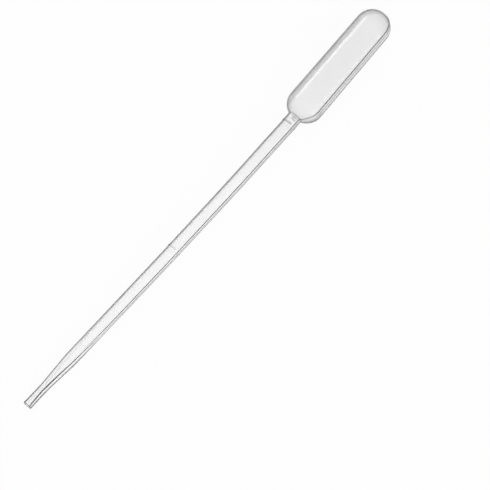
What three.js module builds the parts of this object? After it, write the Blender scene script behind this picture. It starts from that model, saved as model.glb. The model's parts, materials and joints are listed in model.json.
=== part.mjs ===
// A one-piece dropper pipette, blow-moulded in soft polyethylene: a long thin stem with a drawn
// tip, and a hollow bulb with a round end. It lies on its side on the plane z = 0, which it
// touches all along its bulb and with the thin end of its stem. Millimetres, +Z up, tip towards -X.
import * as THREE from 'three';

// Lengths along the axis, counted from the open end of the tip.
const TIP_LENGTH = 7.9;
const TAPER_LENGTH = 10.4;
const STEM_LENGTH = 96.36;
const SHOULDER_LENGTH = 4.75;
const BULB_LENGTH = 35.59;

// Outer radii.
const TIP_RADIUS = 1.38;
const TIP_FLARE = 0.08;
const TIP_FLARE_LENGTH = 1.6;
const STEM_RADIUS_AT_TAPER = 2.05;
const STEM_RADIUS_AT_NECK = 2.21;
const BULB_RADIUS_AT_SHOULDER = 5.47;
const BULB_RADIUS_AT_DOME = 5.27;

// Walls, and the narrow bore through the tip.
const TIP_BORE_RADIUS = 0.5;
const TIP_BORE_LENGTH = 6;
const STEM_WALL = 0.36;
const BULB_WALL = 0.35;

// The soft stem curves over its last stretch before the neck, in the parting plane of the mould.
// Laid down, the part rolls about its axis until that plane is at the lying angle to the ground,
// where the curve brings the whole length of the bulb to rest.
const BEND_LENGTH = 38;
const BEND_ANGLE = THREE.MathUtils.degToRad(3.65);
const LYING_ANGLE = THREE.MathUtils.degToRad(51.45);

// The line that the two halves of the mould leave along both sides: a low flat rib.
const SEAM_WIDTH = 0.6;
const SEAM_HEIGHT = 0.1;
const SEAM_FLANK = 0.3;
const SEAM_LEAST_RADIUS = 0.9;

// Raised volume marks, across the middle of each half of the stem.
const MARK_PLACES = [62.3, 112];
const MARK_HEIGHT = 0.14;
const MARK_WIDTH = 0.4;
const MARK_FLANK = 0.15;
const MARK_HALF_ANGLE = THREE.MathUtils.degToRad(54);
const MARK_END_ANGLE = THREE.MathUtils.degToRad(12);

// Fineness of the faceted surface. This number of sides to each half puts a flat one underneath
// the bulb.
const HALF_SIDES = 13;
const SHOULDER_STEPS = 7;
const DOME_STEPS = 8;
const BEND_STEPS = 6;

// Places along the axis that follow from the lengths.
const taperEnd = TIP_LENGTH + TAPER_LENGTH;
const neck = taperEnd + STEM_LENGTH;
const shoulderEnd = neck + SHOULDER_LENGTH;
const bulbEnd = shoulderEnd + BULB_LENGTH;
const bendStart = neck - BEND_LENGTH;

const { clamp, lerp } = THREE.MathUtils;

// A value that runs straight from one place to another and is level beyond both.
function ramp(place, from, valueFrom, to, valueTo) {
  return lerp(valueFrom, valueTo, clamp((place - from) / (to - from), 0, 1));
}

// Outer surface, or the inner one when inset by the wall. The shoulder is part of a quarter
// ellipse, which meets the stem at the neck and runs level into the bulb.
const neckShare = STEM_RADIUS_AT_NECK / BULB_RADIUS_AT_SHOULDER;
const shoulderReach = SHOULDER_LENGTH / Math.sqrt(1 - neckShare ** 2);

function quarterEllipse(distance, reach, radius) {
  return radius * Math.sqrt(1 - clamp(distance / reach, 0, 1) ** 2);
}

function bulbRadius(place, inset) {
  const domeCentre = bulbEnd - BULB_RADIUS_AT_DOME;
  if (place < shoulderEnd) {
    const reach = shoulderReach - inset;
    return quarterEllipse(shoulderEnd - place, reach, BULB_RADIUS_AT_SHOULDER - inset);
  }
  if (place < domeCentre) {
    return ramp(place, shoulderEnd, BULB_RADIUS_AT_SHOULDER, domeCentre, BULB_RADIUS_AT_DOME) - inset;
  }
  const domeRadius = BULB_RADIUS_AT_DOME - inset;
  return quarterEllipse(place - domeCentre, domeRadius, domeRadius);
}

function stemRadius(place) {
  return ramp(place, taperEnd, STEM_RADIUS_AT_TAPER, neck, STEM_RADIUS_AT_NECK);
}

function outerRadius(place) {
  if (place > neck) return bulbRadius(place, 0);
  if (place > taperEnd) return stemRadius(place);
  if (place > TIP_LENGTH) return ramp(place, TIP_LENGTH, TIP_RADIUS, taperEnd, STEM_RADIUS_AT_TAPER);
  return TIP_RADIUS + ramp(place, 0, TIP_FLARE, TIP_FLARE_LENGTH, 0);
}

function innerRadius(place) {
  if (place > neck) {
    return Math.max(stemRadius(neck) - STEM_WALL, bulbRadius(place, BULB_WALL));
  }
  if (place > taperEnd) return stemRadius(place) - STEM_WALL;
  const boreAtTaper = STEM_RADIUS_AT_TAPER - STEM_WALL;
  return ramp(place, TIP_BORE_LENGTH, TIP_BORE_RADIUS, taperEnd, boreAtTaper);
}

// Rings are closer together where the surface turns: places from one side of a quarter ellipse
// to the other, at even angles.
function quarterPlaces(centre, reach, steps) {
  return Array.from({ length: steps }, (_, i) => centre + reach * Math.sin((i / steps) * Math.PI / 2));
}

function evenPlaces(from, to, steps) {
  return Array.from({ length: steps + 1 }, (_, i) => lerp(from, to, i / steps));
}

function markEdges(centre) {
  const top = MARK_WIDTH / 2;
  const foot = top + MARK_FLANK;
  return [centre - foot, centre - top, centre + top, centre + foot];
}

function inOrder(places) {
  return [...new Set(places)].sort((a, b) => a - b);
}

function bulbPlaces(inset) {
  const domeRadius = BULB_RADIUS_AT_DOME - inset;
  const shoulder = quarterPlaces(shoulderEnd, inset - shoulderReach, SHOULDER_STEPS);
  const dome = quarterPlaces(bulbEnd - BULB_RADIUS_AT_DOME, domeRadius, DOME_STEPS);
  return [...shoulder.filter((place) => place > neck + inset), ...dome];
}

const outerPlaces = inOrder([
  0, TIP_FLARE_LENGTH, TIP_LENGTH, taperEnd,
  ...MARK_PLACES.flatMap(markEdges),
  ...evenPlaces(bendStart, neck, BEND_STEPS),
  ...bulbPlaces(0),
]);
const innerPlaces = inOrder([
  0, TIP_BORE_LENGTH, taperEnd,
  ...evenPlaces(bendStart, neck + BULB_WALL, BEND_STEPS),
  ...bulbPlaces(BULB_WALL),
]);

// The bent centre line: the point at a place, and the slope there.
function centreLine(place) {
  const turned = clamp((place - bendStart) / BEND_LENGTH, 0, 1) * BEND_ANGLE;
  const bendRadius = BEND_LENGTH / BEND_ANGLE;
  const before = Math.min(place, bendStart);
  const after = Math.max(place - neck, 0);
  return {
    x: before + bendRadius * Math.sin(turned) + after * Math.cos(turned),
    y: bendRadius * (1 - Math.cos(turned)) + after * Math.sin(turned),
    slope: turned,
  };
}

// Angles round a ring, from the seam that the stem curves towards to the other one and back. Each
// seam takes four of them: both edges of its flat top and both its feet.
function ringAngles(radius) {
  const seamRadius = Math.max(radius, SEAM_LEAST_RADIUS);
  const top = SEAM_WIDTH / 2 / seamRadius;
  const foot = (SEAM_WIDTH / 2 + SEAM_FLANK) / seamRadius;
  const half = [top, ...evenPlaces(foot, Math.PI - foot, HALF_SIDES), Math.PI - top];
  return [...half, ...half.map((angle) => angle + Math.PI)];
}

function seamRelief(radius, angle) {
  const offSeam = radius * Math.abs(Math.sin(angle));
  const height = SEAM_HEIGHT * Math.min(1, radius / SEAM_LEAST_RADIUS);
  return ramp(offSeam, SEAM_WIDTH / 2, height, SEAM_WIDTH / 2 + SEAM_FLANK, 0);
}

function markRelief(place, angle) {
  const offMiddle = Math.acos(Math.abs(Math.sin(angle)));
  const offMark = Math.min(...MARK_PLACES.map((mark) => Math.abs(place - mark)));
  const height = ramp(offMark, MARK_WIDTH / 2, MARK_HEIGHT, MARK_WIDTH / 2 + MARK_FLANK, 0);
  return ramp(offMiddle, MARK_HALF_ANGLE - MARK_END_ANGLE, height, MARK_HALF_ANGLE, 0);
}

// A point given in the frame of the parting plane, rolled to the lying angle.
function laid(x, y, z) {
  return new THREE.Vector3(x, y, z).applyAxisAngle(new THREE.Vector3(1, 0, 0), -LYING_ANGLE);
}

function ring(place, radius, relief) {
  const { x, y, slope } = centreLine(place);
  return ringAngles(radius).map((angle) => {
    const reach = radius + relief(radius, angle, place);
    const out = reach * Math.cos(angle);
    return laid(x - out * Math.sin(slope), y + out * Math.cos(slope), reach * Math.sin(angle));
  });
}

function outerRelief(radius, angle, place) {
  return seamRelief(radius, angle) + markRelief(place, angle);
}

function pole(place) {
  const { x, y } = centreLine(place);
  return laid(x, y, 0);
}

// One closed skin over a row of rings, with a point at each end.
function skin(startPoint, rings, endPoint) {
  const sides = rings[0].length;
  const points = [startPoint, ...rings.flat(), endPoint];
  const last = points.length - 1;
  const at = (row, side) => 1 + row * sides + (side % sides);
  const index = [];
  for (let side = 0; side < sides; side++) {
    index.push(0, at(0, side + 1), at(0, side));
    for (let row = 0; row + 1 < rings.length; row++) {
      index.push(at(row, side), at(row, side + 1), at(row + 1, side));
      index.push(at(row, side + 1), at(row + 1, side + 1), at(row + 1, side));
    }
    index.push(at(rings.length - 1, side), at(rings.length - 1, side + 1), last);
  }
  const geometry = new THREE.BufferGeometry().setFromPoints(points);
  geometry.setIndex(index);
  geometry.computeVertexNormals();
  return geometry;
}

// The skin runs from the inside of the dome down the bore, round the end of the tip, and back
// along the outside.
const inside = innerPlaces.map((place) => ring(place, innerRadius(place), () => 0)).reverse();
const outside = outerPlaces.map((place) => ring(place, outerRadius(place), outerRelief));

// The tilt at which the line that the part lies on is level: of all the lines from a point under
// the stem to one under the bulb, the one that passes lowest beneath the neck.
function restingTilt() {
  const lows = outside.map((points) => points.reduce((low, point) => (point.z < low.z ? point : low)));
  const neckRow = outerPlaces.indexOf(neck);
  const underStem = lows.slice(0, neckRow);
  const underBulb = lows.slice(neckRow + 1);
  const lines = underStem.flatMap((from) => underBulb.map((to) => {
    const slope = (to.z - from.z) / (to.x - from.x);
    return { slope, underNeck: from.z + slope * (lows[neckRow].x - from.x) };
  }));
  const lowest = lines.reduce((low, line) => (line.underNeck < low.underNeck ? line : low));
  return Math.atan(lowest.slope);
}

const polyethylene = new THREE.MeshStandardMaterial({
  color: 0xe9ebea,
  roughness: 0.32,
  metalness: 0,
});

const geometry = skin(pole(bulbEnd - BULB_WALL), [...inside, ...outside], pole(bulbEnd));
const pipette = new THREE.Mesh(geometry, polyethylene);
pipette.name = 'pipette';
pipette.rotation.y = restingTilt();

// The origin is under the middle of the part, on the plane it lies on.
const extent = new THREE.Box3().setFromObject(pipette, true);
const middle = extent.getCenter(new THREE.Vector3());
pipette.position.set(-middle.x, -middle.y, -extent.min.z);

const part = new THREE.Group();
part.add(pipette);

export default part;
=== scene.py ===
"""Looks for the plastic dropper pipette: one piece of milky, see-through polyethylene."""

import json
import math

import bpy
import numpy as np
from mathutils import Matrix, Vector


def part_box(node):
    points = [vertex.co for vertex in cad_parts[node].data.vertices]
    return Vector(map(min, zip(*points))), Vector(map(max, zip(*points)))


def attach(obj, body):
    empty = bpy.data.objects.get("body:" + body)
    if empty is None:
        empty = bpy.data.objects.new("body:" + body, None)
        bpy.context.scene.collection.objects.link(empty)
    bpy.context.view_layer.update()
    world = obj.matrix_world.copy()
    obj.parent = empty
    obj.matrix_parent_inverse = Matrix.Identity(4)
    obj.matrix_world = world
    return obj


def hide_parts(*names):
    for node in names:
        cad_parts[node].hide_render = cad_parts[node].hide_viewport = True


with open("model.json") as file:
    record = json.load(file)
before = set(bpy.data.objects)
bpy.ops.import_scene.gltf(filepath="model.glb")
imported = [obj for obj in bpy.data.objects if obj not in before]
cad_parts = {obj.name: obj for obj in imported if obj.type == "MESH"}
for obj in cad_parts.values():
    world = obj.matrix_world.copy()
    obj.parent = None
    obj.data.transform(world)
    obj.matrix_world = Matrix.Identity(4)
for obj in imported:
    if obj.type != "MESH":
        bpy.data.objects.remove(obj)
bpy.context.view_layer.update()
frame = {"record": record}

MM = 0.001

# Sizes of the part in millimetres. A place is a distance along the axis from the tip's open end.
TIP_LENGTH = 7.9
TAPER_END = 18.3
NECK = 114.66
SHOULDER_END = 119.41
BULB_END = 155.0
BEND_LENGTH = 38.0
BEND_ANGLE = math.radians(3.65)
LYING_ANGLE = math.radians(51.45)

TIP_RADIUS = 1.38
TIP_FLARE = 0.08
TIP_FLARE_LENGTH = 1.6
STEM_RADIUS_AT_TAPER = 2.05
STEM_RADIUS_AT_NECK = 2.21
BULB_RADIUS_AT_SHOULDER = 5.55
BULB_RADIUS_AT_DOME = 5.35
DOME_CENTRE = BULB_END - BULB_RADIUS_AT_DOME

# The bulb stands a little off the stem's axis, in the parting plane, and the stem bows a little
# more than a plain arc. The places are where the bow starts, is full, starts to fall and ends.
BULB_SHIFT = 0.14
STEM_BOW = 0.24
STEM_BOW_PLACES = (52.0, 88.0, 101.0, 113.0)

# Walls. The shoulder's wall is thinner, round a middle that lies past the neck.
TIP_BORE_RADIUS = 1.0
TIP_BORE_LENGTH = 6.0
STEM_WALL = 0.265
NECK_WALL = 0.355
BULB_WALL = 0.305
SHOULDER_THINNING = 0.13
THIN_SHOULDER_MIDDLE = NECK + 2.5
THIN_SHOULDER_HALF_WIDTH = 1.5
THIN_SHOULDER_FLANK = 3.0

# The wall's section across the seam, as smooth bumps: height, middle, half width and flank.
# A middle is measured round the ring from the seam, positive on the half that faces the camera.
SEAM_OUT_TIP = [(0.062, 0.0, 0.143, 0.516), (0.188, -0.011, 0.02, 0.055)]
SEAM_OUT_STEM = [
    (0.07, 0.0, 0.165, 0.594), (0.076, -0.273, 0.02, 0.032), (-0.022, -0.572, 0.194, 0.258),
]
SEAM_OUT_BULB = [(0.15, 0.0, 0.165, 0.45), (-0.022, -0.572, 0.194, 0.258)]
SEAM_IN_TIP = [(-0.24, 0.0, 0.013, 0.278)]
SEAM_IN_STEM = [(0.076, 0.07, 0.02, 0.338)]
SEAM_IN_BULB = [(-0.078, 0.07, 0.02, 0.338)]
SEAM_LEAST_RADIUS = 0.9
SEAM_CHANGE_LENGTH = 12.0
# The two halves of the skin meet with a small step: its height and its softness.
HALVES_STEP = -0.012
HALVES_STEP_WIDTH = 0.05
# The seam runs round towards the viewer on its way down to the open end: place and degrees.
SEAM_TURN_PLACES = (0.0, 3.0, 6.0, 13.0, 17.5, 23.4, 29.2, 38.0)
SEAM_TURN_ANGLES = (20.0, 28.0, 33.0, 26.0, 20.0, 14.0, 3.0, 0.0)

# A thinner stripe along the inside of the stem's far half, which loses a share of its depth
# before the neck.
STRIPE_IN_STEM = [(-0.14, -1.6, 0.5, 0.5)]
STRIPE_CHANGE = (NECK - 3.5, NECK - 1.0)
STRIPE_LOSS = 0.5

# The inside is uneven in streaks: height, length along the axis, count round it and seed.
LONG_STREAKS = (0.012, 5.0, 2.0, 3)
SHORT_STREAKS = (0.008, 2.0, 3.0, 5)
STREAKS_START = (TAPER_END, TAPER_END + 10.0)
STREAKS_LEAST_RADIUS = 2.0
WAVE_COUNT = 7
WAVE_PITCHES = (0.6, 1.7)
WAVE_PHASES = 6.3

# Raised volume marks.
MARK_PLACES = (62.3, 112.0)
MARK_HEIGHTS = (0.12, 0.17)
FAR_MARK_SHARE = 0.5
MARK_HALF_WIDTH = 0.17
MARK_FLANK = 0.14
MARK_HALF_ANGLE = math.radians(54)
MARK_END_ANGLE = math.radians(6)

# Angles in degrees round from the seam that the stem curves to: where something starts, is full,
# starts to fall and ends.
# A short fold below the neck, which wanders a little.
FOLD_PLACE = NECK - 1.25
FOLD_HEIGHT = 0.05
FOLD_HALF_WIDTH = 0.05
FOLD_FLANK = 0.12
FOLD_WANDER = 0.1
FOLD_WANDER_ANGLE = 6.0
FOLD_ANGLES = (112.0, 120.0, 150.0, 158.0)
# The bulb's side is a little flatter than round.
FLAT_DEPTH = 0.085
FLAT_ANGLES = (78.0, 90.0, 90.0, 160.0)
# The bulb's wall is thinner on its far half.
FAR_THINNING = 0.13
FAR_ANGLES = (193.0, 206.0, 245.0, 280.0)

# Painted shade: how far the plastic's colour is darkened in its creases, from 0 to 1. A mark's
# painted shade is darker on its flanks than on its top, and stronger round towards the upper seam.
MARK_SHADES = (0.5, 1.0)
MARK_FLANK_SHADE = 4.5
MARK_TOP_SHADE = 0.5
MARK_LEAST_SHADE_SHARE = 0.2
MARK_SHADE_ANGLES = (70.0, 125.0)
FOLD_SHADE = 0.7
# Painted dark lines of shade, as smooth bumps: shade, middle, half width and flank. The first
# three run along the seam, and their middle is measured as the seam's bumps are. The others run
# round at a place.
TIP_LINE = [(1.0, -0.011, 0.07, 0.12)]
STEM_LINE = [(1.0, 0.4, 0.06, 0.12)]
SHOULDER_LINE = [(1.0, 0.16, 0.08, 0.14)]
SHOULDER_LINE_END = (SHOULDER_END - 0.5, SHOULDER_END + 5.0)
NECK_LINE = [(0.5, NECK + 0.1, 0.1, 0.15)]
MOUTH_LINE = [(0.8, 0.0, 0.1, 0.2)]

# Mesh fineness: first the profile's.
PROFILE_STEP = 0.02
COARSE_STEP = 0.1
FINE_STEP = 0.01
FINE_FROM = NECK - 1.0
DOME_POINTS = 200
PAST_POLE_POINTS = 60
RIM_WEIGHT = 0.001
CORNER_SOFTNESS = 0.13
INNER_NECK_SOFTNESS = 0.57
INNER_NECK_REACH = (1.5, 3.0)
LONGEST_STEP = 1.2
TURN_PER_STEP = math.radians(6)
MARK_STEP = 0.03
MARK_MARGIN = 0.1
DENSITY_SPREAD = 41
QUARTER_POINTS = 54
QUARTER_SAMPLES = 1500
# The spacing round a ring, at four distances from the seam.
SPACING_PLACES = (0.35, 0.45, 2.3, 2.8)
SPACINGS = (0.022, 0.05, 0.1, 0.4)
TINY = 1e-9

# Where the part lies: the bore's middle at the open end, and the axis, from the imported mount.
BORE_TO_MOUNT = 0.95 * MM
mount = next(m for m in frame["record"]["mounts"] if m["name"] == "tip_end")
along = -Vector(mount["axis"]).normalized()
side = Vector((0, 0, 1)).cross(along).normalized()
up = along.cross(side)
bore_end = Vector(mount["pos_m"]) - up * BORE_TO_MOUNT
# Directions of the parting plane: towards the seam that the stem curves to, and across the plane.
to_seam = side * math.cos(LYING_ANGLE) - up * math.sin(LYING_ANGLE)
across = side * math.sin(LYING_ANGLE) + up * math.cos(LYING_ANGLE)


def smooth_step(value, low, high):
    t = np.clip((value - low) / (high - low), 0.0, 1.0)
    return t * t * (3 - 2 * t)


def between(value, limits):
    """Rises smoothly from 0 to 1 from the first limit to the second, and falls again from the
    third to the fourth."""
    return smooth_step(value, *limits[:2]) * (1 - smooth_step(value, *limits[2:]))


def off_step(distance, half_width, flank):
    """1 within the half width, falling smoothly to 0 over the flank."""
    return 1 - smooth_step(np.abs(distance), half_width, half_width + flank)


def bumps(distance, shapes):
    return sum(
        height * off_step(distance - middle, half_width, flank)
        for height, middle, half_width, flank in shapes
    )


def quarter_ellipse(distance, reach, radius):
    return radius * np.sqrt(1 - np.clip(distance / reach, 0, 1) ** 2)


def waves(u, v, seed):
    """Smooth wandering between -1 and 1 over two coordinates, the same on each run."""
    rng = np.random.default_rng(seed)
    total = np.zeros(np.broadcast(u, v).shape)
    for _ in range(WAVE_COUNT):
        turn = rng.uniform(0, 2 * math.pi)
        pitch = rng.uniform(*WAVE_PITCHES) * 2 * math.pi
        run = u * math.cos(turn) + v * math.sin(turn)
        total = total + np.sin(pitch * run + rng.uniform(0, WAVE_PHASES))
    return total / WAVE_COUNT


def bulb_radius(place, inset):
    share = STEM_RADIUS_AT_NECK / BULB_RADIUS_AT_SHOULDER
    reach = (SHOULDER_END - NECK) / math.sqrt(1 - share**2)
    shoulder = quarter_ellipse(SHOULDER_END - place, reach - inset, BULB_RADIUS_AT_SHOULDER - inset)
    straight = np.interp(
        place, [SHOULDER_END, DOME_CENTRE], [BULB_RADIUS_AT_SHOULDER, BULB_RADIUS_AT_DOME]
    )
    dome_radius = BULB_RADIUS_AT_DOME - inset
    dome = quarter_ellipse(place - DOME_CENTRE, dome_radius, dome_radius)
    return np.where(
        place < SHOULDER_END, shoulder, np.where(place < DOME_CENTRE, straight - inset, dome)
    )


def stem_radius(place):
    return np.interp(place, [TAPER_END, NECK], [STEM_RADIUS_AT_TAPER, STEM_RADIUS_AT_NECK])


def outer_radius(place):
    tip = np.interp(
        place,
        [0, TIP_FLARE_LENGTH, TIP_LENGTH, TAPER_END],
        [TIP_RADIUS + TIP_FLARE, TIP_RADIUS, TIP_RADIUS, STEM_RADIUS_AT_TAPER],
    )
    stem = np.where(place < TAPER_END, tip, stem_radius(place))
    return np.where(place > NECK, bulb_radius(place, 0.0), stem)


def thin_at_shoulder(place):
    """1 where the shoulder's wall is thinnest."""
    return off_step(place - THIN_SHOULDER_MIDDLE, THIN_SHOULDER_HALF_WIDTH, THIN_SHOULDER_FLANK)


def inner_radius(place):
    wall = np.interp(place, [TAPER_END, NECK], [STEM_WALL, NECK_WALL])
    in_stem = stem_radius(np.maximum(place, TAPER_END)) - wall
    bore = np.interp(
        place,
        [TIP_BORE_LENGTH, TAPER_END],
        [TIP_BORE_RADIUS, STEM_RADIUS_AT_TAPER - STEM_WALL],
    )
    stem = np.where(place < TAPER_END, bore, in_stem)
    bulb_wall = BULB_WALL - SHOULDER_THINNING * thin_at_shoulder(place)
    in_bulb = np.maximum(STEM_RADIUS_AT_NECK - NECK_WALL, bulb_radius(place, bulb_wall))
    return np.where(place > NECK, in_bulb, stem)


def half_profile(radius_at, inset):
    """One side of the wall as place and radius, from the open end to the top of the dome."""
    places = np.concatenate([
        np.arange(0, FINE_FROM, COARSE_STEP), np.arange(FINE_FROM, SHOULDER_END, FINE_STEP),
        np.arange(SHOULDER_END, DOME_CENTRE, COARSE_STEP),
    ])
    line = np.stack([places, radius_at(places)], 1)
    turn = np.linspace(0, math.pi / 2, DOME_POINTS)
    dome_radius = BULB_RADIUS_AT_DOME - inset
    dome = np.stack([DOME_CENTRE + dome_radius * np.sin(turn), dome_radius * np.cos(turn)], 1)
    return np.concatenate([line, dome])


def evenly_spaced(line):
    """The same line with its points one profile step apart."""
    run = np.concatenate([[0], np.cumsum(np.hypot(*np.diff(line, axis=0).T))])
    keep = np.concatenate([[True], np.diff(run) > TINY])
    line, run = line[keep], run[keep]
    even = np.arange(0, run[-1], PROFILE_STEP)
    return np.stack([np.interp(even, run, line[:, i]) for i in (0, 1)], 1)


def averaged(line, softness):
    """The line with its corners softened by averaging along it."""
    reach = int(4 * softness / PROFILE_STEP)
    weights = np.exp(-0.5 * (np.arange(-reach, reach + 1) * PROFILE_STEP / softness) ** 2)
    weights /= weights.sum()
    padded = np.pad(line, ((reach, reach), (0, 0)), "edge")
    return np.stack([np.convolve(padded[:, i], weights, "valid") for i in (0, 1)], 1)


def profile():
    """The cut edge of the wall as one line: down the inside from the dome, round the end of the
    tip, and back along the outside. Returns place and radius, and whether a point is outside."""
    inside = half_profile(inner_radius, BULB_WALL)[::-1]
    outside = half_profile(outer_radius, 0.0)
    # Beyond each pole the line goes on as its own mirror image, so that the ends stay round.
    before = inside[1:PAST_POLE_POINTS][::-1] * (1, -1)
    after = outside[-PAST_POLE_POINTS:-1][::-1] * (1, -1)
    line = evenly_spaced(np.concatenate([before, inside, outside, after]))
    # The inside of the neck is softer than the other corners.
    is_inside = np.arange(len(line))[:, None] < np.argmin(line[:, 0])
    at_neck = is_inside * (1 - smooth_step(np.abs(line[:, :1] - NECK), *INNER_NECK_REACH))
    crisp = averaged(line, CORNER_SOFTNESS)
    soft = averaged(line, INNER_NECK_SOFTNESS)
    line = crisp * (1 - at_neck) + soft * at_neck
    off_axis = np.flatnonzero(line[:, 1] > 0)
    line = line[off_axis[0] : off_axis[-1] + 1]
    # The outside starts at the rim: the lowest place, and there the point nearest the tip's radius.
    off_rim = np.abs(line[:, 1] - TIP_RADIUS)
    end = int(np.argmin(line[:, 0] + RIM_WEIGHT * off_rim))
    return line, np.arange(len(line)) > end


def stations(line, outside):
    """Picks points of the line, closer together where it turns and at the marks."""
    step = np.gradient(line, axis=0)
    turn = np.abs(np.gradient(np.unwrap(np.arctan2(step[:, 1], step[:, 0]))))
    density = np.maximum(PROFILE_STEP / LONGEST_STEP, turn / TURN_PER_STEP)
    detail_reach = MARK_HALF_WIDTH + MARK_FLANK + MARK_MARGIN
    for detail in (*MARK_PLACES, FOLD_PLACE):
        near = outside & (np.abs(line[:, 0] - detail) < detail_reach)
        density = np.where(near, np.maximum(density, PROFILE_STEP / MARK_STEP), density)
    spread = np.ones(DENSITY_SPREAD) / DENSITY_SPREAD
    density = np.maximum(density, np.convolve(density, spread, "same"))
    count = np.cumsum(density)
    picks = np.interp(np.arange(count[0], count[-1], 1.0), count, np.arange(len(line)))
    return np.unique(np.round(picks).astype(int))


def ring_angles(radius):
    """Angles round a ring, closer together near the seams at 0 and half a turn."""
    turn = np.linspace(0, math.pi / 2, QUARTER_SAMPLES)
    spacing = np.interp(turn * radius, SPACING_PLACES, SPACINGS)
    count = np.cumsum(1 / spacing)
    even = np.linspace(count[0], count[-1], QUARTER_POINTS + 1)
    quarter = np.interp(even, count, turn)
    half = np.concatenate([quarter, math.pi - quarter[-2::-1]])[:-1]
    return np.concatenate([half, half + math.pi])


class Rings:
    """The skin as rings round the axis, one row of points for each place along the profile."""

    def __init__(self):
        line, outside = profile()
        picks = stations(line, outside)
        self.place = line[picks, 0][:, None]
        self.radius = line[picks, 1][:, None]
        self.is_out = outside[picks][:, None]
        self.angle = np.stack([ring_angles(r) for r in self.radius[:, 0]])
        self.degrees = np.degrees(self.angle)
        side_of_plane = np.sign(np.sin(self.angle) + TINY)
        self.is_near = side_of_plane > 0
        # Distance from the nearest seam, measured round the outside, positive on the near half.
        turn = side_of_plane * np.abs(np.angle(np.exp(2j * self.angle))) / 2
        self.off_seam = turn * np.where(self.is_out, self.radius, outer_radius(self.place))
        # Relief dies away towards the bulb's pole.
        self.full = np.minimum(1, self.radius / SEAM_LEAST_RADIUS)
        self.in_tip = 1 - smooth_step(self.place, TAPER_END, TAPER_END + SEAM_CHANGE_LENGTH)
        self.in_bulb = smooth_step(self.place, NECK, SHOULDER_END)
        self.in_stem = 1 - self.in_tip - self.in_bulb

    def across_seam(self, tip, stem, bulb):
        """The bumps across the seam, changing over from the tip to the stem and the bulb."""
        return (
            bumps(self.off_seam, tip) * self.in_tip + bumps(self.off_seam, stem) * self.in_stem
            + bumps(self.off_seam, bulb) * self.in_bulb
        )


def mark_shares(rings):
    """How much of each volume mark stands at a point, from 0 to 1."""
    off_middle = np.arccos(np.abs(np.sin(rings.angle)))
    on_band = 1 - smooth_step(off_middle, MARK_HALF_ANGLE - MARK_END_ANGLE, MARK_HALF_ANGLE)
    return [off_step(rings.place - at, MARK_HALF_WIDTH, MARK_FLANK) * on_band for at in MARK_PLACES]


def fold_share(rings):
    wander = FOLD_WANDER * np.sin(rings.degrees / FOLD_WANDER_ANGLE)
    over = off_step(rings.place - FOLD_PLACE - wander, FOLD_HALF_WIDTH, FOLD_FLANK)
    return over * between(rings.degrees, FOLD_ANGLES)


def outer_relief(rings):
    """The seam's rib with the step between the halves, the marks and the fold."""
    rib = rings.across_seam(SEAM_OUT_TIP, SEAM_OUT_STEM, SEAM_OUT_BULB) * rings.full
    rib = rib + HALVES_STEP / 2 * np.tanh(rings.off_seam / HALVES_STEP_WIDTH)
    marks = sum(height * share for height, share in zip(MARK_HEIGHTS, mark_shares(rings)))
    marks = marks * np.where(rings.is_near, 1, FAR_MARK_SHARE)
    return rib + marks + FOLD_HEIGHT * fold_share(rings)


def unevenness(rings):
    """The blown inside is a little uneven, mostly in long shallow streaks."""
    uneven = 0
    for kind, round_it in (
        (LONG_STREAKS, np.cos(rings.angle)), (SHORT_STREAKS, np.sin(rings.angle)),
    ):
        height, length, count, seed = kind
        uneven = uneven + height * waves(rings.place / length, round_it * count, seed)
    return (
        uneven * smooth_step(rings.place, *STREAKS_START)
        * np.minimum(1, rings.radius / STREAKS_LEAST_RADIUS)
    )


def inner_relief(rings):
    """Where the inside stands further out or in than the plain bore."""
    bead = rings.across_seam(SEAM_IN_TIP, SEAM_IN_STEM, SEAM_IN_BULB)
    stripe = bumps(rings.off_seam, STRIPE_IN_STEM) * rings.in_stem
    stripe = stripe * (1 - STRIPE_LOSS * smooth_step(rings.place, *STRIPE_CHANGE))
    thin = FAR_THINNING * between(rings.degrees, FAR_ANGLES) * rings.in_bulb
    thin = thin * (1 - thin_at_shoulder(rings.place))
    return (thin - bead - stripe) * rings.full + unevenness(rings)


def bulb_flat(rings):
    """How far the bulb's flatter side stands in from round, in both faces of the wall."""
    depth = FLAT_DEPTH * between(rings.degrees, FLAT_ANGLES) * rings.in_bulb
    return depth * np.minimum(1, rings.radius / BULB_RADIUS_AT_DOME)


def painted_crease_shade(rings):
    """Painted shade in the plastic's colour at its creases, from 0 to 1: along the seam on the near
    half, on the near half of the marks, in the fold, and round the neck and the mouth."""
    # crisp scales the marks' painted shade: stronger round towards the upper seam, and only on the
    # near half.
    crisp = smooth_step(rings.degrees, *MARK_SHADE_ANGLES)
    crisp = (MARK_LEAST_SHADE_SHARE + (1 - MARK_LEAST_SHADE_SHARE) * crisp) * rings.is_near
    shade = FOLD_SHADE * fold_share(rings)
    for dark, share in zip(MARK_SHADES, mark_shares(rings)):
        over = MARK_FLANK_SHADE - (MARK_FLANK_SHADE - MARK_TOP_SHADE) * share
        shade = shade + dark * share * over * crisp
    by_upper_seam = np.abs(rings.degrees - 180) < 90
    shade = shade + bumps(rings.off_seam, TIP_LINE) * rings.in_tip * by_upper_seam
    shade = shade + bumps(rings.off_seam, STEM_LINE) * rings.in_stem
    at_shoulder = rings.in_bulb * (1 - smooth_step(rings.place, *SHOULDER_LINE_END))
    shade = shade + bumps(rings.off_seam, SHOULDER_LINE) * at_shoulder
    shade = shade + bumps(rings.place, NECK_LINE)
    return np.clip(np.where(rings.is_out, shade, 0) + bumps(rings.place, MOUTH_LINE), 0, 1)


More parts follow.
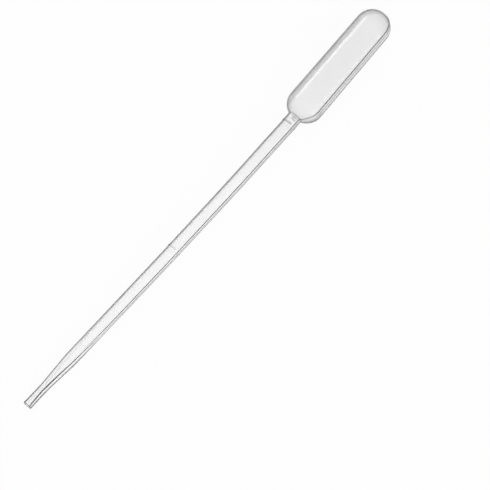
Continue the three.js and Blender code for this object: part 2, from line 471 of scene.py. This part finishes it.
def centre_line(place):
    """The axis as x and y in the parting plane, and its slope."""
    bend_radius = BEND_LENGTH / BEND_ANGLE
    slope = np.clip((place - (NECK - BEND_LENGTH)) / BEND_LENGTH, 0, 1) * BEND_ANGLE
    before = np.minimum(place, NECK - BEND_LENGTH)
    after = np.maximum(place - NECK, 0)
    x = before + bend_radius * np.sin(slope) + after * np.cos(slope)
    y = bend_radius * (1 - np.cos(slope)) + after * np.sin(slope)
    y = y + STEM_BOW * between(place, STEM_BOW_PLACES)
    return x, y - BULB_SHIFT * smooth_step(place, NECK, SHOULDER_END), slope


def skin_points(rings):
    relief = np.where(rings.is_out, outer_relief(rings), inner_relief(rings)) - bulb_flat(rings)
    reach = rings.radius + relief
    seam_turn = np.interp(rings.place, SEAM_TURN_PLACES, SEAM_TURN_ANGLES)
    angle = rings.angle - np.radians(seam_turn)
    x, y, slope = centre_line(rings.place)
    out = reach * np.cos(angle)
    local = np.stack([
        x - out * np.sin(slope), y + out * np.cos(slope), reach * np.sin(angle)
    ], -1)
    axes = np.array([along, to_seam, across])
    return np.array(bore_end) + local @ axes * MM


def skin_faces(rows, sides):
    """Quads between the rings, and a fan at each pole, whose points come after the rings."""
    row, col = np.meshgrid(np.arange(rows - 1), np.arange(sides), indexing="ij")
    here, beyond = row * sides, (row + 1) * sides
    after = (col + 1) % sides
    quads = np.stack([here + col, here + after, beyond + after, beyond + col], -1)
    faces = [tuple(int(i) for i in face) for face in quads.reshape(-1, 4)]
    first_pole, last_pole = rows * sides, rows * sides + 1
    last_ring = (rows - 1) * sides
    faces += [(first_pole, (i + 1) % sides, i) for i in range(sides)]
    faces += [(last_pole, last_ring + i, last_ring + (i + 1) % sides) for i in range(sides)]
    return faces


def skin_mesh(name):
    rings = Rings()
    points = skin_points(rings)
    poles = [points[0].mean(0), points[-1].mean(0)]
    vertices = np.concatenate([points.reshape(-1, 3), poles])
    mesh = bpy.data.meshes.new(name)
    mesh.from_pydata(vertices.tolist(), [], skin_faces(*points.shape[:2]))
    mesh.polygons.foreach_set("use_smooth", [True] * len(mesh.polygons))
    # The painted crease shade goes on the mesh as a point attribute for the material.
    shade = np.concatenate([painted_crease_shade(rings).ravel(), [0, 0]])
    painted_shade = mesh.attributes.new("painted_shade", "FLOAT", "POINT")
    painted_shade.data.foreach_set("value", shade.astype(np.float32))
    mesh.update()
    return mesh


class Nodes:
    """A short way to write a node tree."""

    def __init__(self, tree):
        self.tree = tree
        tree.nodes.clear()

    def add(self, kind, inputs=None, **settings):
        node = self.tree.nodes.new(kind)
        for name, value in settings.items():
            setattr(node, name, value)
        for key, value in (inputs or {}).items():
            if isinstance(value, bpy.types.NodeSocket):
                self.tree.links.new(value, node.inputs[key])
            else:
                node.inputs[key].default_value = value
        return node

    def math(self, operation, first, second):
        return self.add("ShaderNodeMath", {0: first, 1: second}, operation=operation).outputs[0]

    def mix(self, factor, first, second):
        """A mix of two colours."""
        inputs = {"Factor": factor, "A": first, "B": second}
        return self.add("ShaderNodeMix", inputs, data_type="RGBA").outputs[2]


# The plastic. Along X it goes from the clearer stem to the milkier bulb.
CLEAR_TO_X = 0.012
MILKY_FROM_X = 0.052
STEM_PALE = 1.0
BULB_PALE = 0.945
CLOUD_SCALE = 220.0
CLOUD_SHADE = 0.01
# Darkening seen edge on: partly the milky plastic in the way, partly painted shade on the outlines.
EDGE_MILK_AND_SHADE = 0.4625
EDGE_POWER = 4.637
BLACK = (0, 0, 0, 1)
# The near black that the painted crease shade darkens the colour towards.
PAINTED_SHADE_COLOUR = (0.02, 0.02, 0.02, 1)
ROUGHNESS = (0.17, 0.2)
GRAIN_SCALE = 900.0
GRAIN_STRENGTH = 0.04
GRAIN_DEPTH = 0.0001
REFRACTION = 1.51
ABSORPTION = 10.9


def polyethylene():
    material = bpy.data.materials.new("milky_polyethylene")
    material.use_nodes = True
    n = Nodes(material.node_tree)
    coords = n.add("ShaderNodeTexCoord").outputs["Object"]
    cloud = n.add("ShaderNodeTexNoise", {"Vector": coords, "Scale": CLOUD_SCALE, "Detail": 3.0})
    # The bulb is a little milkier than the stem.
    place = n.add("ShaderNodeSeparateXYZ", {0: coords}).outputs["X"]
    milk = n.add("ShaderNodeMapRange", {
        "Value": place, "From Min": CLEAR_TO_X, "From Max": MILKY_FROM_X,
        "To Min": STEM_PALE, "To Max": BULB_PALE,
    })
    pale = n.math("SUBTRACT", milk.outputs[0], n.math("MULTIPLY", cloud.outputs[0], CLOUD_SHADE))
    # Seen edge on, more of the milky plastic lies in the way; the same darkening also paints shade
    # onto the outlines.
    facing = n.add("ShaderNodeLayerWeight", {"Blend": 0.5}).outputs["Facing"]
    edge_milk_and_shade = n.math("MULTIPLY", n.math("POWER", facing, EDGE_POWER), EDGE_MILK_AND_SHADE)
    tint = n.mix(edge_milk_and_shade, pale, BLACK)
    # Painted shade: the crease shade attribute darkens the colour towards near black.
    painted_shade = n.add("ShaderNodeAttribute", attribute_name="painted_shade").outputs["Fac"]
    tint = n.mix(painted_shade, tint, PAINTED_SHADE_COLOUR)
    gloss = n.add("ShaderNodeMapRange", {
        "Value": cloud.outputs[0], "To Min": ROUGHNESS[0], "To Max": ROUGHNESS[1],
    })
    grain = n.add("ShaderNodeTexNoise", {"Vector": coords, "Scale": GRAIN_SCALE, "Detail": 2.0})
    bump = n.add("ShaderNodeBump", {
        "Height": grain.outputs[0], "Strength": GRAIN_STRENGTH, "Distance": GRAIN_DEPTH,
    })
    surface = n.add("ShaderNodeBsdfPrincipled", {
        "Base Color": tint, "Roughness": gloss.outputs[0], "IOR": REFRACTION,
        "Transmission Weight": 1.0, "Normal": bump.outputs[0],
    })
    inside = n.add("ShaderNodeVolumeAbsorption", {"Color": BLACK, "Density": ABSORPTION})
    n.add("ShaderNodeOutputMaterial", {
        "Surface": surface.outputs[0], "Volume": inside.outputs[0],
    })
    return material


# The floor.
FLOOR_SIZE = 8.0
FLOOR_GAP = 0.01 * MM
FLOOR_SHARE_SEEN = 0.95
FLOOR_PAINT = (0.319, 0.319, 0.319, 1)
FLOOR_PAINT_SEEN = (0.95, 0.95, 0.95, 1)
WHITE = (1, 1, 1, 1)


def floor_material():
    """A pale floor that the camera, reflections and the clear plastic see as white. Light that
    was both reflected and refracted sees its paint, which draws the plastic's dark outlines."""
    material = bpy.data.materials.new("pale_floor")
    material.use_nodes = True
    n = Nodes(material.node_tree)
    path = n.add("ShaderNodeLightPath").outputs
    seen = n.math("MULTIPLY", path["Is Camera Ray"], FLOOR_SHARE_SEEN)
    seen = n.math("MAXIMUM", seen, path["Is Glossy Ray"])
    seen = n.math("MAXIMUM", seen, path["Is Transmission Ray"])
    piped = n.math(
        "MULTIPLY",
        n.math("GREATER_THAN", path["Glossy Depth"], 0.5),
        n.math("GREATER_THAN", path["Transmission Depth"], 0.5),
    )
    share = n.math("MULTIPLY", seen, n.math("SUBTRACT", 1.0, piped))
    colour = n.mix(path["Is Camera Ray"], FLOOR_PAINT, FLOOR_PAINT_SEEN)
    paint = n.add("ShaderNodeBsdfDiffuse", {"Color": colour})
    white = n.add("ShaderNodeEmission", {"Color": WHITE, "Strength": 1.0})
    mix = n.add("ShaderNodeMixShader", {0: share, 1: paint.outputs[0], 2: white.outputs[0]})
    n.add("ShaderNodeOutputMaterial", {"Surface": mix.outputs[0]})
    return material


def floor_corners(height):
    half = FLOOR_SIZE / 2
    return [(x, y, height) for x, y in ((-half, -half), (half, -half), (half, half), (-half, half))]


def add_object(name, data):
    made = bpy.data.objects.new(name, data)
    bpy.context.scene.collection.objects.link(made)
    return made


def standing_at(place, right, top, back):
    """The matrix of a camera or lamp at a place, that looks away from its back."""
    return Matrix.Translation(place) @ Matrix((right, top, back)).transposed().to_4x4()


# The one piece.
pipette = add_object("pipette_skin", skin_mesh("pipette_skin"))
pipette.data.materials.append(polyethylene())
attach(pipette, "root")
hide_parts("pipette")

# The floor lies just under the skin's lowest point.
floor_height = min(vertex.co.z for vertex in pipette.data.vertices) - FLOOR_GAP
floor_mesh = bpy.data.meshes.new("floor")
floor_mesh.from_pydata(floor_corners(floor_height), [], [(0, 1, 2, 3)])
floor_mesh.materials.append(floor_material())
add_object("floor", floor_mesh)

# Camera: above the part, leaning to the tip's end and a little to the +Y side.
CAMERA_TO_TIP = math.radians(12)
CAMERA_TO_SIDE = math.radians(8.87)
CAMERA_DISTANCE = 5.0
CAMERA_CLIP_END = 20
CAMERA_LENS = 1277.84
CAMERA_ROLL = math.radians(46.706)
CAMERA_AIM = (10.92, -10.61)
low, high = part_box("pipette")
middle = (low + high) / 2
back = Vector((-math.tan(CAMERA_TO_TIP), math.tan(CAMERA_TO_SIDE), 1)).normalized()
level = (along - back * along.dot(back)).normalized()
rise = back.cross(level)
right = level * math.cos(CAMERA_ROLL) - rise * math.sin(CAMERA_ROLL)
top = back.cross(right)
aim = middle + (right * CAMERA_AIM[0] + top * CAMERA_AIM[1]) * MM
camera = add_object("camera", bpy.data.cameras.new("camera"))
camera.data.lens = CAMERA_LENS
camera.data.clip_end = CAMERA_CLIP_END
camera.matrix_world = standing_at(aim + back * CAMERA_DISTANCE, right, top, back)
bpy.context.scene.camera = camera

# Lamps: angle from the camera's direction across the part, width, power.
LAMPS = (
    ("lamp_low", 77.4, 0.6, 1.6), ("lamp_high", 34.2, 2.52, 1.814), ("lamp_across", -83.5, 0.2, 3.9),
)
LAMP_DISTANCE = 1.3
LAMP_LENGTH = 1.2
WORLD_STRENGTH = 0.75


def add_lamp(name, angle, width, power):
    turn = math.radians(angle)
    away = (back * math.cos(turn) - rise * math.sin(turn)).normalized()
    sideways = level.cross(away).normalized()
    lamp = add_object(name, bpy.data.lights.new(name, "AREA"))
    lamp.data.shape = "RECTANGLE"
    lamp.data.size, lamp.data.size_y = width, LAMP_LENGTH
    lamp.data.energy = power
    place = middle + away * LAMP_DISTANCE
    lamp.matrix_world = standing_at(place, sideways, away.cross(sideways), away)


for lamp_row in LAMPS:
    add_lamp(*lamp_row)

world = bpy.data.worlds.new("studio")
bpy.context.scene.world = world
world.use_nodes = True
background = world.node_tree.nodes["Background"]
background.inputs["Color"].default_value = WHITE
background.inputs["Strength"].default_value = WORLD_STRENGTH
bpy.context.scene.view_settings.view_transform = "Standard"
